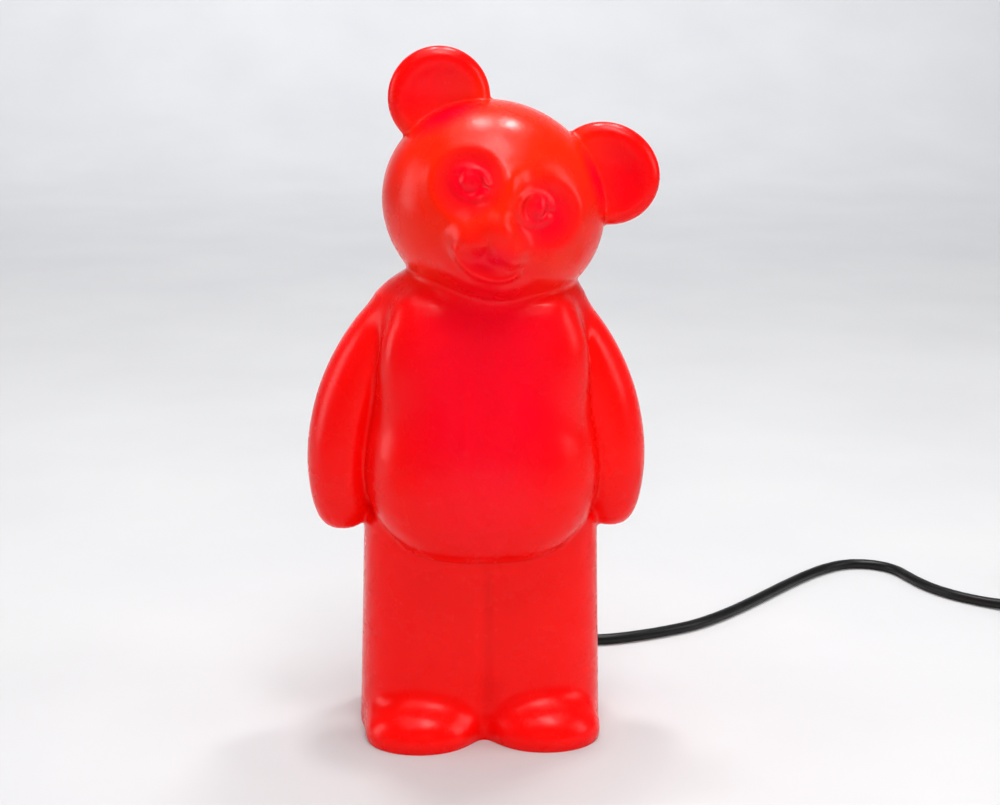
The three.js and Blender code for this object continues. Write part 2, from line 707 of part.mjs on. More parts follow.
function plugPin(side) {
  const profile = [
    [0, -4.2], [1.2, -4.2], [1.2, 10.3], [2, 10.3], [2, PIN_LENGTH - 1.2], [1, PIN_LENGTH], [0, PIN_LENGTH],
  ];
  return alongX(turned(profile, 14), side * PIN_OFFSET, PLUG_AXIS);
}

function plugSleeve(side) {
  return alongX(ring(1.95, 1.5, GAP, 10, 14), side * PIN_OFFSET, PLUG_AXIS);
}

// ---- Assembly -----------------------------------------------------------------------------------

const lamp = new THREE.Group();
const baseGroup = new THREE.Group();
const bulbGroup = new THREE.Group();
const switchGroup = new THREE.Group();
const rockerGroup = new THREE.Group();
const plugGroup = new THREE.Group();

function add(group, name, geometry, finish, x = 0, y = 0, z = 0) {
  const mesh = new THREE.Mesh(weld(geometry), finish.clone());
  mesh.name = name;
  mesh.position.set(x, y, z);
  group.add(mesh);
}

baseGroup.position.y = BASE_Y;
switchGroup.position.set(...SWITCH_CENTRE, 0);
switchGroup.rotation.z = radians(SWITCH_ANGLE);
rockerGroup.position.z = ROCKER_PIVOT;
rockerGroup.rotation.y = radians(-ROCKER_TILT);
plugGroup.position.set(...PLUG_FACE, 0);
plugGroup.rotation.z = radians(PLUG_ANGLE);
baseGroup.add(bulbGroup);
switchGroup.add(rockerGroup);
lamp.add(baseGroup, switchGroup, plugGroup);

add(lamp, 'bear_shell', bearShell(), VINYL);

add(baseGroup, 'base_plate', basePlate(), BLACK_PLASTIC);
PAD_PLACES.forEach(([x, y], i) => add(baseGroup, `foot_pad_${i + 1}`, footPad(), RUBBER, x, y));
add(baseGroup, 'strain_relief', strainRelief(), RUBBER);
add(baseGroup, 'cord_inner', cordInner(), BLACK_FLEX);
add(baseGroup, 'cord_clamp', cordClamp(), BLACK_PLASTIC);
CLAMP_SCREWS.forEach(([x, y], i) => add(baseGroup, `clamp_screw_${i + 1}`, clampScrew(), STEEL, x, y));
add(baseGroup, 'threaded_nipple', nipple(), STEEL);
add(baseGroup, 'nipple_nut_lower', hexNut(6.1, DISC_BOTTOM - GAP), STEEL);
add(baseGroup, 'nipple_nut_upper', hexNut(DISC_TOP + GAP, HOLDER_CAP_BOTTOM - GAP), STEEL);
add(baseGroup, 'wire_neutral', coreWire(-1), WIRE_BLUE);
add(baseGroup, 'wire_live', coreWire(1), WIRE_BROWN);

add(baseGroup, 'holder_cap', holderCap(), BLACK_PLASTIC);
add(baseGroup, 'holder_sleeve', holderSleeve(), BLACK_PLASTIC);
add(baseGroup, 'holder_core', holderCore(), CERAMIC);
add(baseGroup, 'holder_thread_shell', threadShell(), BRASS);
add(baseGroup, 'holder_centre_contact', centreContact(), BRASS);
add(baseGroup, 'terminal_neutral', terminal(-1), BRASS);
add(baseGroup, 'terminal_live', terminal(1), BRASS);
add(baseGroup, 'terminal_screw_neutral', terminalScrew(-1), STEEL);
add(baseGroup, 'terminal_screw_live', terminalScrew(1), STEEL);

add(bulbGroup, 'bulb_glass', bulbGlass(), GLASS);
add(bulbGroup, 'bulb_cap', bulbCap(), NICKEL);
add(bulbGroup, 'bulb_insulator', bulbInsulator(), BLACK_PLASTIC);
add(bulbGroup, 'bulb_contact', bulbContact(), NICKEL);
add(bulbGroup, 'bulb_stem', bulbStem(), GLASS);
add(bulbGroup, 'bulb_filament', bulbFilament(), STEEL);

add(lamp, 'cord_lead', tube(LEAD_ROUTE, CORD_RADIUS, 38), BLACK_FLEX);
add(switchGroup, 'switch_base', switchBase(), BLACK_PLASTIC);
add(switchGroup, 'switch_cover', switchCover(), BLACK_PLASTIC);
SWITCH_SCREWS.forEach(([x, y], i) => add(switchGroup, `switch_screw_${i + 1}`, switchScrew(), STEEL, x, y));
add(switchGroup, 'switch_contact_in', switchContact(-1), BRASS);
add(switchGroup, 'switch_contact_out', switchContact(1), BRASS);
add(rockerGroup, 'switch_rocker', switchRocker(), BLACK_PLASTIC);
add(lamp, 'cord_link', cut(tube(LINK_ROUTE, CORD_RADIUS, 4), coilClearance()), BLACK_FLEX);
add(lamp, 'cord_coil', coilSolid(), BLACK_FLEX);
add(lamp, 'coil_tie', coilTie(), BLACK_PLASTIC);
add(lamp, 'cord_end', cut(tube(END_ROUTE, CORD_RADIUS, 4), coilClearance()), BLACK_FLEX);

add(plugGroup, 'plug_body', plugBody(), BLACK_PLASTIC);
for (const [name, side] of [['1', -1], ['2', 1]]) {
  add(plugGroup, `plug_pin_${name}`, plugPin(side), NICKEL);
  add(plugGroup, `plug_pin_sleeve_${name}`, plugSleeve(side), BLACK_PLASTIC);
}

export default lamp;
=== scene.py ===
import json
import math

import bmesh
import bpy
import numpy as np
import openvdb
from mathutils import Matrix, Vector

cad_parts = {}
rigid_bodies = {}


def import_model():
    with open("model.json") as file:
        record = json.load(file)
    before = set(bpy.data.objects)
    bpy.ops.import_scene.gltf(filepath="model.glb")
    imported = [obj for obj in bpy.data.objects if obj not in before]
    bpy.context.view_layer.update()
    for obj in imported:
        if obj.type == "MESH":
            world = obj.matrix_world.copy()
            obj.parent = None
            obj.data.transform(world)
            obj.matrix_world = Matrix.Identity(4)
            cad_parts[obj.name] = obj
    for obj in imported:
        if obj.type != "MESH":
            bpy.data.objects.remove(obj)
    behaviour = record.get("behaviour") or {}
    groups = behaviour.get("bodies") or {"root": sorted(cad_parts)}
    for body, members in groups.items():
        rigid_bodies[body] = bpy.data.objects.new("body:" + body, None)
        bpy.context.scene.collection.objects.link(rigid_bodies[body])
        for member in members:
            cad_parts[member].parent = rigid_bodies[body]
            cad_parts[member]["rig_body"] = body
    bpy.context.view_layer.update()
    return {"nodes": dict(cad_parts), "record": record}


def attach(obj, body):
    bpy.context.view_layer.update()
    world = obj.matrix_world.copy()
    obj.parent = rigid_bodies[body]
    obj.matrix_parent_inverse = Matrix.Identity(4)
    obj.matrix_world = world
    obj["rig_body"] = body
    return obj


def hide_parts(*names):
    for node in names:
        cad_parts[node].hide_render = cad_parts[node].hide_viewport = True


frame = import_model()
scene = bpy.context.scene

# ---- Sizes, in metres unless a name says otherwise ------------------------------------------------

MM = 0.001
CORD_RADIUS = 2.9 * MM
LAMP_Y = 8.5 * MM                     # the lampholder's axis lies this far behind the origin

# ---- Camera, in metres ------------------------------------------------------------------------------

CAMERA_TARGET = Vector((0.0086, -0.0045, 0.164))
CAMERA_BACK = Vector((-0.0677, -0.9679, 0.2419)).normalized()
CAMERA_DISTANCE = 0.9
CAMERA_ROLL = math.radians(0.4)
CAMERA_LENS = 67.2


def place_camera():
    data = bpy.data.cameras.new("camera")
    data.lens = CAMERA_LENS
    data.clip_end = 100
    camera = bpy.data.objects.new("camera", data)
    scene.collection.objects.link(camera)
    turn = CAMERA_BACK.to_track_quat("Z", "Y").to_matrix().to_4x4()
    camera.matrix_world = (
        Matrix.Translation(CAMERA_TARGET + CAMERA_BACK * CAMERA_DISTANCE)
        @ turn
        @ Matrix.Rotation(CAMERA_ROLL, 4, "Z")
    )
    scene.camera = camera


place_camera()

# ---- Materials: helpers ---------------------------------------------------------------------------


class Shader:
    """One material with a Principled shader, and short calls for the nodes that feed it."""

    def __init__(self, name, **inputs):
        self.material = bpy.data.materials.new(name)
        self.material.use_nodes = True
        self.tree = self.material.node_tree
        self.principled = self.tree.nodes["Principled BSDF"]
        for socket, value in inputs.items():
            label = socket.replace("_", " ").title().replace("Ior", "IOR")
            self.principled.inputs[label].default_value = value
        self.place = self.node("ShaderNodeTexCoord").outputs["Object"]

    def node(self, kind, **settings):
        made = self.tree.nodes.new(kind)
        for name, value in settings.items():
            setattr(made, name, value)
        return made

    def link(self, output, target):
        self.tree.links.new(output, target)

    def noise(self, scale, detail=3.0, roughness=0.5):
        made = self.node("ShaderNodeTexNoise")
        made.inputs["Scale"].default_value = scale
        made.inputs["Detail"].default_value = detail
        made.inputs["Roughness"].default_value = roughness
        self.link(self.place, made.inputs["Vector"])
        return made.outputs["Fac"]

    def between(self, value, low, high, from_low=0.3, from_high=0.7):
        made = self.node("ShaderNodeMapRange")
        made.inputs["From Min"].default_value = from_low
        made.inputs["From Max"].default_value = from_high
        made.inputs["To Min"].default_value = low
        made.inputs["To Max"].default_value = high
        self.link(value, made.inputs["Value"])
        return made.outputs["Result"]

    def ramp(self, value, stops):
        made = self.node("ShaderNodeValToRGB")
        elements = made.color_ramp.elements
        while len(elements) < len(stops):
            elements.new(0.5)
        for element, (position, colour) in zip(elements, stops):
            element.position = position
            element.color = (*colour, 1)
        self.link(value, made.inputs["Fac"])
        return made.outputs["Color"]

    def mix(self, share, first, second):
        made = self.node("ShaderNodeMix", data_type="RGBA")
        for socket, value in zip([0, 6, 7], [share, first, second]):
            if isinstance(value, bpy.types.NodeSocket):
                self.link(value, made.inputs[socket])
            else:
                made.inputs[socket].default_value = value if socket == 0 else (*value, 1)
        return made.outputs[2]

    def near(self, centre, reach):
        """Distance from a point, counted in its reach along each axis."""
        made = self.node("ShaderNodeMapping")
        made.inputs["Location"].default_value = [-c / r for c, r in zip(centre, reach)]
        made.inputs["Scale"].default_value = [1 / r for r in reach]
        self.link(self.place, made.inputs["Vector"])
        length = self.node("ShaderNodeVectorMath", operation="LENGTH")
        self.link(made.outputs["Vector"], length.inputs[0])
        return length.outputs["Value"]

    def bump(self, height, distance, strength=1.0, after=None):
        made = self.node("ShaderNodeBump")
        made.inputs["Strength"].default_value = strength
        made.inputs["Distance"].default_value = distance
        self.link(height, made.inputs["Height"])
        if after is not None:
            self.link(after, made.inputs["Normal"])
        return made.outputs["Normal"]

    def finish(self, colour=None, roughness=None, normal=None):
        for socket, value in [("Base Color", colour), ("Roughness", roughness), ("Normal", normal)]:
            if value is not None:
                self.link(value, self.principled.inputs[socket])
        return self.material


PAINTED_SHADE_PARTS = [                       # centre and reach of the painted shade, deeper crimson parts, in millimetres
    ((0, -45, 178), (50, 100, 85)), ((2, -22, 207), (38, 30, 11)), ((-20.2, -9, 309), (24, 16, 24)),
    ((59.4, -9, 273), (22, 16, 22)), ((-8.5, -40, 275.5), (19, 18, 19)), ((29, -40, 259), (21, 18, 21)),
    ((0.5, -48, 240.5), (14, 18, 8)),
]


def red_vinyl():
    """Glossy translucent vinyl in one red, with painted shade as a deeper crimson on the belly, under
    the chin and in the hollows, and painted light as a more orange head.
    """
    shader = Shader(
        "red vinyl", subsurface_weight=0.35, subsurface_scale=6 * MM, specular_ior_level=0.17
    )
    shader.principled.inputs["Subsurface Radius"].default_value = (1.0, 0.09, 0.05)
    # painted light: the head is tinted more orange than the body
    head = shader.near([c * MM for c in (5.5, 0, 262)], (0.062, 0.062, 0.062))
    painted_light_on_head = shader.between(head, 0.0, 1.0, 1.0, 0.8)
    colour = shader.mix(painted_light_on_head, (0.87, 0.002, 0.0005), (0.87, 0.014, 0.0))
    # painted shade: deeper crimson towards the middle of each of these parts
    for centre, reach in PAINTED_SHADE_PARTS:
        away = shader.near([c * MM for c in centre], [r * MM for r in reach])
        colour = shader.mix(shader.between(away, 0.0, 1.0, 1.0, 0.4), colour, (0.86, 0.0, 0.012))
    cloudy = shader.between(shader.noise(22, 4), 0.0, 0.3, 0.35, 0.75)
    colour = shader.mix(cloudy, colour, (0.82, 0.0, 0.004))
    few = [(0.0, (0, 0, 0)), (0.8, (0, 0, 0)), (0.9, (1, 1, 1))]
    specks = shader.ramp(shader.noise(900, 2, 0.7), few)
    colour = shader.mix(specks, colour, (0.5, 0.0, 0.0))
    roughness = shader.between(shader.noise(60, 5, 0.6), 0.2, 0.33)
    peel = shader.bump(shader.noise(420, 2, 0.4), 0.16 * MM, 0.5)
    waves = shader.bump(shader.noise(38, 2), 0.7 * MM, 0.35, peel)
    return shader.finish(colour, roughness, waves)


def moulded(name, colour, gloss=(0.34, 0.5), grain=1500, depth=0.03, dust=0.06, shine=0.5):
    """Moulded plastic or rubber with a fine grain, cloudy gloss and a little dust."""
    shader = Shader(name, specular_ior_level=shine)
    dirt = shader.between(shader.noise(90, 6, 0.65), 0.0, dust, 0.45, 0.75)
    tint = shader.mix(dirt, colour, (0.45, 0.43, 0.4))
    roughness = shader.between(shader.noise(120, 5, 0.6), *gloss)
    normal = shader.bump(shader.noise(grain, 2, 0.6), depth * MM, 0.7)
    return shader.finish(tint, roughness, normal)


def metal(name, colour, gloss=(0.18, 0.36), tarnish=(0.3, 0.25, 0.2), share=0.25):
    """Plated or plain metal with fine brushing, cloudy tarnish and worn gloss."""
    shader = Shader(name, metallic=1.0)
    stain = shader.between(shader.noise(140, 6, 0.7), 0.0, share, 0.4, 0.75)
    tint = shader.mix(stain, colour, tarnish)
    roughness = shader.between(shader.noise(400, 5, 0.7), *gloss)
    normal = shader.bump(shader.noise(2500, 2, 0.6), 0.012 * MM, 0.6)
    return shader.finish(tint, roughness, normal)


def clear_glass():
    shader = Shader(
        "clear glass", transmission_weight=1.0, ior=1.5, base_color=(0.98, 0.99, 0.99, 1)
    )
    roughness = shader.between(shader.noise(70, 4), 0.0, 0.03)
    return shader.finish(None, roughness, shader.bump(shader.noise(25, 2), 0.08 * MM, 0.4))


def glazed_ceramic():
    shader = Shader("glazed ceramic")
    stain = shader.between(shader.noise(500, 3), 0.0, 0.2)
    tint = shader.mix(stain, (0.8, 0.79, 0.74), (0.66, 0.63, 0.56))
    roughness = shader.between(shader.noise(80, 4), 0.12, 0.3)
    return shader.finish(tint, roughness, shader.bump(shader.noise(160, 2), 0.1 * MM, 0.4))


MATERIALS = {
    "red_vinyl": red_vinyl(),
    "black_plastic": moulded("black plastic", (0.02, 0.02, 0.021)),
    "black_flex": moulded("black flex", (0.004, 0.004, 0.004), (0.3, 0.42), 700, 0.05, 0.01, 0.25),
    "black_rubber": moulded("black rubber", (0.025, 0.025, 0.025), (0.6, 0.82), 900, 0.08, 0.12),
    "zinc_steel": metal("zinc steel", (0.6, 0.6, 0.6)),
    "brass": metal("brass", (0.78, 0.55, 0.22), (0.2, 0.4), (0.3, 0.17, 0.06)),
    "nickel": metal("nickel", (0.72, 0.7, 0.66), (0.1, 0.26), (0.4, 0.36, 0.3)),
    "clear_glass": clear_glass(),
    "white_ceramic": glazed_ceramic(),
    "tungsten": metal("tungsten", (0.3, 0.3, 0.31), (0.35, 0.5)),
    "blue_wire": moulded("blue wire", (0.02, 0.08, 0.36), (0.3, 0.45), 900, 0.03, 0.05),
    "brown_wire": moulded("brown wire", (0.12, 0.04, 0.015), (0.3, 0.45), 900, 0.03, 0.05),
}

SLOT_OF_NODE = {piece["node"]: piece["material_slot"] for piece in frame["record"]["subparts"]}

# ---- Mesh helpers ---------------------------------------------------------------------------------

FINE_ANGLE = math.radians(38)


def new_object(name, data, slot_name, body="base"):
    obj = bpy.data.objects.new(name, data)
    scene.collection.objects.link(obj)
    data.materials.clear()
    data.materials.append(MATERIALS[slot_name])
    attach(obj, body)
    return obj


def smooth(mesh, angle=FINE_ANGLE):
    mesh.shade_smooth()
    mesh.set_sharp_from_angle(angle=angle)


def mesh_from(name, vertices, faces):
    mesh = bpy.data.meshes.new(name)
    mesh.from_pydata([tuple(v) for v in vertices], [], [tuple(f) for f in faces])
    mesh.validate()
    return mesh


def apply_modifiers(obj):
    bpy.context.view_layer.update()
    evaluated = obj.evaluated_get(bpy.context.evaluated_depsgraph_get())
    mesh = bpy.data.meshes.new_from_object(evaluated)
    obj.modifiers.clear()
    obj.data = mesh


def lathe(name, profile, segments=64, centre=(0, 0)):
    """Closed solid of revolution; profile holds [radius, height] in mm, with its ends on the axis."""
    vertices, faces = [], []
    for radius, height in profile:
        for i in range(segments):
            turn = 2 * math.pi * i / segments
            vertices.append((
                centre[0] + radius * math.cos(turn) * MM,
                centre[1] + radius * math.sin(turn) * MM,
                height * MM,
            ))
    for row in range(len(profile) - 1):
        low, high = row * segments, (row + 1) * segments
        for i in range(segments):
            j = (i + 1) % segments
            faces.append((low + i, low + j, high + j, high + i))
    mesh = mesh_from(name, vertices, faces)
    clean(mesh)
    return mesh


def clean(mesh, distance=1e-6):
    """Merges points that coincide and turns the faces outwards."""
    work = bmesh.new()
    work.from_mesh(mesh)
    bmesh.ops.remove_doubles(work, verts=work.verts, dist=distance)
    bmesh.ops.dissolve_degenerate(work, dist=distance / 10, edges=work.edges)
    bmesh.ops.recalc_face_normals(work, faces=work.faces)
    work.to_mesh(mesh)
    work.free()


def refine(node, bevel=0.5, segments=3, angle=35):
    """A finer copy of a CAD node: flat faces joined, edges rounded."""
    source = frame["nodes"][node]
    copy = bpy.data.objects.new("fine_" + node, source.data.copy())
    scene.collection.objects.link(copy)
    clean(copy.data, 2e-6)
    flat = copy.modifiers.new("flat", "DECIMATE")
    flat.decimate_type = "DISSOLVE"
    flat.angle_limit = math.radians(1)
    edges = copy.modifiers.new("edges", "BEVEL")
    edges.width = bevel * MM
    edges.segments = segments
    edges.limit_method = "ANGLE"
    edges.angle_limit = math.radians(angle)
    edges.use_clamp_overlap = True
    apply_modifiers(copy)
    smooth(copy.data, math.radians(50))
    copy.data.materials.clear()
    copy.data.materials.append(MATERIALS[SLOT_OF_NODE[node]])
    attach(copy, source["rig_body"])
    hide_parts(node)
    return copy


# ---- Mains lead, in millimetres ---------------------------------------------------------------------

LEAD_ROUTE = [
    (0, 66.8, 6.4), (0, 73.4, 6.15), (2, 82.6, 5.2), (8, 91.2, 4.1), (17, 96.6, 3.2), (28, 98, 2.95),
    (41, 96, 2.95), (57, 94.4, 2.95), (76, 94.6, 2.95), (95, 99.4, 2.95), (112, 106, 2.95),
    (127, 113.5, 2.95), (140, 123, 2.95), (153, 134.5, 2.95), (167, 148.5, 2.95), (182, 164.5, 2.95),
    (197, 180.5, 2.95), (211, 194.5, 2.95), (219, 201.6, 2.95), (227.5, 207.9, 2.95),
    (236.4, 212.8, 2.95), (246, 215, 2.95), (256, 213.6, 2.95), (264.6, 208.4, 2.95),
    (270.6, 200.2, 2.95), (274, 190, 2.95), (277.5, 179.5, 2.95), (283, 168, 2.95), (291, 157, 2.95),
    (301.5, 147.2, 2.95), (313, 138.7, 3.4), (324.8, 131.3, 4.7), (335.4, 125.4, 5.6),
    (343.3, 121.2, 5.6),
]
LINK_ROUTE = [
    (385.7, 98.6, 5.6), (393.6, 94.4, 5.6), (403, 89.4, 4.7), (412, 84.7, 3.4),
]
END_ROUTE = [
    (436, 153.4, 8.4), (423, 156.9, 7.5), (413, 159.6, 6.95), (404, 162, 6.85),
]
COIL_CENTRE = (438.8, 113.4)
COIL_START = -118                     # degrees from +X where the lead meets the coil
COIL_TURNED = 1993                    # degrees wound in all
COIL_RADIUS = 37.9                    # outer turn
COIL_LOW, COIL_HIGH = 2.95, 8.8       # the two layers
COIL_MOVES = [                        # start and end angle, radius before and after
    (210, 360, 37.9, 32.05), (570, 720, 32.05, 26.2), (1130, 1280, 26.2, 32.05),
    (1490, 1640, 32.05, 37.9),
]
COIL_RISE = (790, 920)                # where the lead climbs to the upper layer


def ease(value, start, end):
    share = min(max((value - start) / (end - start), 0.0), 1.0)
    return share * share * (3 - 2 * share)


def coil_points(step=7):
    points = []
    for turned in [*range(0, COIL_TURNED, step), COIL_TURNED]:
        radius = COIL_RADIUS
        for start, end, before, after in COIL_MOVES:
            radius += (after - before) * ease(turned, start, end)
        angle = math.radians(COIL_START + turned)
        points.append((
            COIL_CENTRE[0] + radius * math.cos(angle),
            COIL_CENTRE[1] + radius * math.sin(angle),
            COIL_LOW + (COIL_HIGH - COIL_LOW) * ease(turned, *COIL_RISE),
        ))
    return points


def smooth_route(points, parts=6):
    """Points in metres along a centripetal Catmull-Rom curve through those given in millimetres."""
    points = [Vector(p) * MM for p in points]
    ends = [points[0] * 2 - points[1], *points, points[-1] * 2 - points[-2]]
    route = []
    for a, b, c, d in zip(ends, ends[1:], ends[2:], ends[3:]):
        t1 = (b - a).length ** 0.5
        t2 = t1 + (c - b).length ** 0.5
        t3 = t2 + (d - c).length ** 0.5
        for i in range(parts):
            t = t1 + (t2 - t1) * i / parts
            ab = a.lerp(b, t / t1)
            bc = b.lerp(c, (t - t1) / (t2 - t1))
            cd = c.lerp(d, (t - t2) / (t3 - t2))
            abc = ab.lerp(bc, t / t2)
            bcd = bc.lerp(cd, (t - t1) / (t3 - t1))
            route.append(abc.lerp(bcd, (t - t1) / (t2 - t1)))
    return [*route, points[-1]]


def cord_curve(name, points):
    data = bpy.data.curves.new(name, "CURVE")
    data.dimensions = "3D"
    data.bevel_depth = CORD_RADIUS
    data.bevel_resolution = 5
    data.use_fill_caps = True
    spline = data.splines.new("POLY")
    spline.points.add(len(points) - 1)
    for knot, place in zip(spline.points, points):
        knot.co = (*place, 1)
    spline.use_smooth = True
    return new_object(name, data, "black_flex")


def build_cords():
    lead_route = smooth_route(LEAD_ROUTE)
    lead = cord_curve("lead_cord", lead_route)
    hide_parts("cord_lead")
    rest_route = smooth_route([*LINK_ROUTE, *coil_points(), *END_ROUTE], 3)
    rest = cord_curve("wound_cord", rest_route)
    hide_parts("cord_link", "cord_coil", "cord_end")
    return lead, rest, lead_route, rest_route


lead_cord, wound_cord, lead_route, rest_route = build_cords()

# ---- Bear shell: smooth forms in millimetres --------------------------------------------------------

VOXEL = 1.0
LOW_CORNER = np.array([-88.0, -60.0, -6.0])
HIGH_CORNER = np.array([89.0, 59.0, 338.0])
WALL = 2.3
HEAD_CENTRE = np.array([5.5, 4.0, 258.5])
HEAD_RADII = (53.5, 49.0, 49.0)
HEAD_ROLL = math.radians(22.5)
LEG_TAPER = 0.045                     # share that the legs lose from the table to the belly
LEG_TOP = 104
LEG_HALF_WIDTH = 60
LEG_HALF_DEPTH = 39
LEG_MIDDLE = 8.5
LEG_SQUARENESS = 3.2                  # exponent of the rounded-rectangle plan
TORSO_OUTLINE = [                      # half-width, height
    (30, 89.5), (44, 93.5), (51.5, 100.5), (56, 112), (57.5, 128), (57, 145), (54.5, 162), (51, 178),
    (47, 194), (43, 207), (37, 218), (28, 228),
]


def join(first, second, blend):
    """Union of two forms, rounded over blend millimetres."""
    near = np.maximum(blend - np.abs(first - second), 0) / blend
    return np.minimum(first, second) - near * near * blend / 4


def carve(first, second, blend):
    return -join(-first, second, blend)


def lump(place, centre, radii):
    """Ellipsoid as a distance-like field."""
    scaled = [(place[i] - centre[i]) / radii[i] for i in range(3)]
    inner = np.sqrt(sum(s * s for s in scaled)) + 1e-6
    slope = np.sqrt(sum((s / r) ** 2 for s, r in zip(scaled, radii))) + 1e-9
    return inner * (inner - 1) / slope


def evened(field):
    """Divides a form's field by its slope, so that it counts in millimetres near the surface."""
    slopes = np.gradient(field, VOXEL)
    slope = np.sqrt(sum(s * s for s in slopes))
    return field / np.maximum(slope, 0.02)


def ridge(distance, width, height):
    """Raised line, or a groove where height is negative."""
    return height * np.exp(-((distance / width) ** 2))


def off_arc(x, z, centre, radii, start, end):
    """Distance in the face's plane from an elliptic arc between two angles, in degrees."""
    u, v = x - centre[0], z - centre[1]
    angle = np.degrees(np.arctan2(v / radii[1], u / radii[0]))
    angle = np.where(angle < start, angle + 360, angle)
    clipped = np.radians(np.clip(angle, start, end))
    return np.hypot(u - radii[0] * np.cos(clipped), v - radii[1] * np.sin(clipped))


def off_line(x, z, start, end):
    ux, uz = end[0] - start[0], end[1] - start[1]
    share = np.clip(((x - start[0]) * ux + (z - start[1]) * uz) / (ux * ux + uz * uz), 0, 1)
    return np.hypot(x - start[0] - ux * share, z - start[1] - uz * share)


def leg_form(x, y, z):
    """The two closed legs as one column, with a crease in front and the feet."""
    scale = 1 - LEG_TAPER * np.clip(z, 0, 110) / LEG_TOP
    u = np.abs(x) / (LEG_HALF_WIDTH * scale)
    v = np.abs(y - LEG_MIDDLE) / (LEG_HALF_DEPTH * scale)
    sides = (u ** LEG_SQUARENESS + v ** LEG_SQUARENESS) ** (1 / LEG_SQUARENESS) - 1
    column = evened(sides)
    column = -join(-column, 112 - z, 6)
    crease = ridge(x - 0.4, 3.0, 1.5) * np.clip((z - 8) / 16, 0, 1) * np.clip((98 - z) / 12, 0, 1)
    flare = ridge(x - 0.8, 7.0, 3.0) * np.clip((34 - z) / 30, 0, 1)
    column = column + np.where(y < 8, crease + flare, 0)
    for side in (-1, 1):
        column = join(column, lump((x, y, z), (side * 30.5, -25, 4), (27, 22, 16)), 9)
    return column


def torso_form(x, y, z):
    """Belly and chest: slices of one outline, with two swellings, a channel and a faint streak."""
    heights = [height for _, height in TORSO_OUTLINE]
    radii = [radius for radius, _ in TORSO_OUTLINE]
    lifted = z - 13 * np.minimum(np.abs(x) / 56, 1.05) ** 3 * np.clip((150 - z) / 50, 0, 1)
    lean = 5 * np.clip((lifted - 90.5) / 135.5, 0, 1)
    samples = np.linspace(heights[0], heights[-1], 60)
    profile = np.interp(samples, heights, radii)
    profile = np.convolve(np.pad(profile, 2, mode="edge"), np.ones(5) / 5, mode="valid")
    profile[:3] = np.interp(samples[:3], heights, radii)
    power = 2 + 0.7 * np.clip((190 - z) / 60, 0, 1)
    around = (np.abs(x) ** power + np.abs((y - lean) / 0.88) ** power) ** (1 / power)
    radius = np.interp(lifted, samples, profile)
    sides = evened(around - radius)
    ends = np.maximum(heights[0] - lifted, lifted - heights[-1])
    body = -join(-sides, -ends, 7)
    for side in (-1, 1):
        body = join(body, lump((x, y, z), (side * 30, -19.5, 187), (19, 15.5, 31)), 12)
    channel = ridge(off_line(x, z, (0, 210), (-3, 172)), 11, 1.3)
    streak = ridge(off_line(x, z, (-8.5, 182), (-10.4, 152)), 1.9, -0.5)
    return body + np.where(y < 0, channel + streak, 0)


def arm_form(x, y, z, side):
    """One arm, hanging from the shoulder and bent inwards at the top."""
    lean = np.maximum((z - 130) / 75, 0)
    middle = 67.5 - 22 * lean ** 2 if side < 0 else 63.3 - 20.5 * lean ** 2
    along = (z - 160.5) / 59.5
    along = np.where(along < 0, np.abs(along) ** 1.6, along)
    across = np.hypot((x - side * middle) / 17.5, (y - 2 - 5 * lean) / 19)
    arm = evened(np.sqrt(across ** 3.333 + along ** 2) - 1)
    edge = ridge(np.hypot(x - side * (middle - 4), y + 15), 3.2, -0.5)
    return arm + edge * np.clip((180 - z) / 30, 0, 1) * np.clip((z - 112) / 14, 0, 1)


# Centres, counted from the middle of the head before it leans
EYES = [(-18.4, -39.8, 9.9), (13.2, -41.6, 10.3)]
EARS = [(-43, 1, 36.6), (43.5, 1, 34)]


